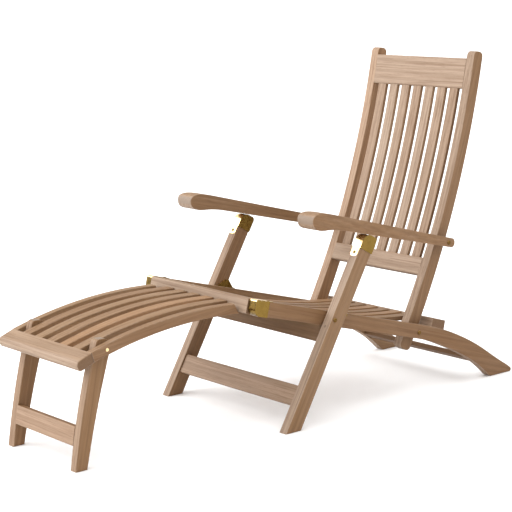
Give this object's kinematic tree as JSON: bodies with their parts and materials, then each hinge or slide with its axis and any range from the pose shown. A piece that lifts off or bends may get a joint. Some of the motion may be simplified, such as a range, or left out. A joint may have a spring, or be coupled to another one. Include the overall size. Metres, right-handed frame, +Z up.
{
  "type": "folding deck chair",
  "caption": "Folding steamer-style deck chair in teak with slatted seat and reclined slatted back, flat tapering arms, a slatted footrest on folding legs, and brass caps and bolts",
  "frame": {"origin": "on the floor, below the middle of the chair's outline", "axes": "+Z up, -Y towards the footrest, +Y towards the backrest, +X to the sitter's left; the chair is symmetric about X = 0"},
  "size_m": [0.6414, 1.5676, 1.0111],
  "materials": {
    "teak_frame": "weathered teak, oiled, satin",
    "teak_slats": "weathered teak, lighter on the faces that catch the light",
    "teak_plugs": "turned teak plugs, end grain showing",
    "brass": "worn brass, satin, darker in the corners"
  },
  "bodies": {
    "seat_frame": {"seat_rail_left": "teak_frame", "seat_rail_right": "teak_frame", "seat_front_crossrail": "teak_frame", "seat_rear_crossrail": "teak_frame", "under_seat_rail": "teak_frame", "rear_leg_stretcher": "teak_frame", "seat_slat_1": "teak_slats", "seat_slat_2": "teak_slats", "seat_slat_3": "teak_slats", "seat_slat_4": "teak_slats", "seat_slat_5": "teak_slats", "seat_slat_6": "teak_slats", "seat_slat_7": "teak_slats", "rail_cap_left": "brass", "rail_cap_right": "brass", "pivot_plate_left": "brass", "pivot_plate_right": "brass", "frame_screws": "brass", "leg_pivot_bolts": "brass", "pivot_washers": "brass", "crossrail_plugs": "teak_plugs", "footrest_hinge_seat_leaves": "brass"},
    "recline_bolts": {"backrest_bolts": "brass"},
    "backrest": {"stile_left": "teak_frame", "stile_right": "teak_frame", "backrest_top_rail": "teak_frame", "backrest_bottom_rail": "teak_frame", "backrest_slat_1": "teak_slats", "backrest_slat_2": "teak_slats", "backrest_slat_3": "teak_slats", "backrest_slat_4": "teak_slats", "backrest_slat_5": "teak_slats", "backrest_slat_6": "teak_slats", "backrest_slat_7": "teak_slats", "arm_washers": "brass"},
    "arm_bolts": {"arm_pivot_bolts": "brass"},
    "arm_left": {"arm_left": "teak_frame"},
    "arm_right": {"arm_right": "teak_frame"},
    "front_legs": {"front_leg_left": "teak_frame", "front_leg_right": "teak_frame", "front_leg_stretcher": "teak_frame", "leg_cap_left": "brass", "leg_cap_right": "brass", "leg_cap_screws": "brass", "leg_plugs": "teak_plugs"},
    "footrest": {"footrest_rail_left": "teak_frame", "footrest_rail_right": "teak_frame", "footrest_nose_rail": "teak_frame", "footrest_slat_1": "teak_slats", "footrest_slat_2": "teak_slats", "footrest_slat_3": "teak_slats", "footrest_slat_4": "teak_slats", "footrest_slat_5": "teak_slats", "footrest_rear_rail": "teak_frame", "footrest_hinge_leaves": "brass", "footrest_leg_bolts": "brass"},
    "footrest_legs": {"footrest_leg_left": "teak_frame", "footrest_leg_right": "teak_frame", "footrest_leg_stretcher": "teak_frame"}
  },
  "joints": [
    {"name": "backrest_recline", "type": "hinge", "parent": "seat_frame", "child": "recline_bolts", "pos_m": [0, 0.387, 0.192], "axis": [-1, 0, 0], "range_deg": [0, 12]},
    {"name": "backrest_fold", "type": "hinge", "parent": "recline_bolts", "child": "backrest", "pos_m": [0, 0.387, 0.192], "axis": [1, 0, 0], "range_deg": [0, 88.5]},
    {"name": "leg_fold", "type": "hinge", "parent": "seat_frame", "child": "front_legs", "pos_m": [0, 0.024, 0.297], "axis": [1, 0, 0], "range_deg": [0, 92.44]},
    {"name": "arm_recline", "type": "hinge", "parent": "backrest", "child": "arm_bolts", "pos_m": [0, 0.5115, 0.45], "axis": [1, 0, 0], "range_deg": [0, 9.4]},
    {"name": "arm_left_fold", "type": "hinge", "parent": "arm_bolts", "child": "arm_left", "pos_m": [0, 0.5115, 0.45], "axis": [1, 0, 0], "range_deg": [-102.66, 0]},
    {"name": "arm_right_fold", "type": "hinge", "parent": "arm_bolts", "child": "arm_right", "pos_m": [0, 0.5115, 0.45], "axis": [1, 0, 0], "range_deg": [-102.66, 0]},
    {"name": "footrest_fold", "type": "hinge", "parent": "seat_frame", "child": "footrest", "pos_m": [0, -0.2431, 0.34455], "axis": [1, 0, 0], "range_deg": [0, 90]},
    {"name": "footrest_leg_fold", "type": "hinge", "parent": "footrest", "child": "footrest_legs", "pos_m": [0, -0.684, 0.321], "axis": [1, 0, 0], "range_deg": [0, 95]}
  ],
  "couplings": [
    {"joint": "leg_fold", "follows": "backrest_fold", "ratio": 1.0444},
    {"joint": "arm_recline", "follows": "backrest_recline", "ratio": 0.78},
    {"joint": "arm_left_fold", "follows": "backrest_fold", "ratio": -1.16},
    {"joint": "arm_right_fold", "follows": "backrest_fold", "ratio": -1.16}
  ]
}
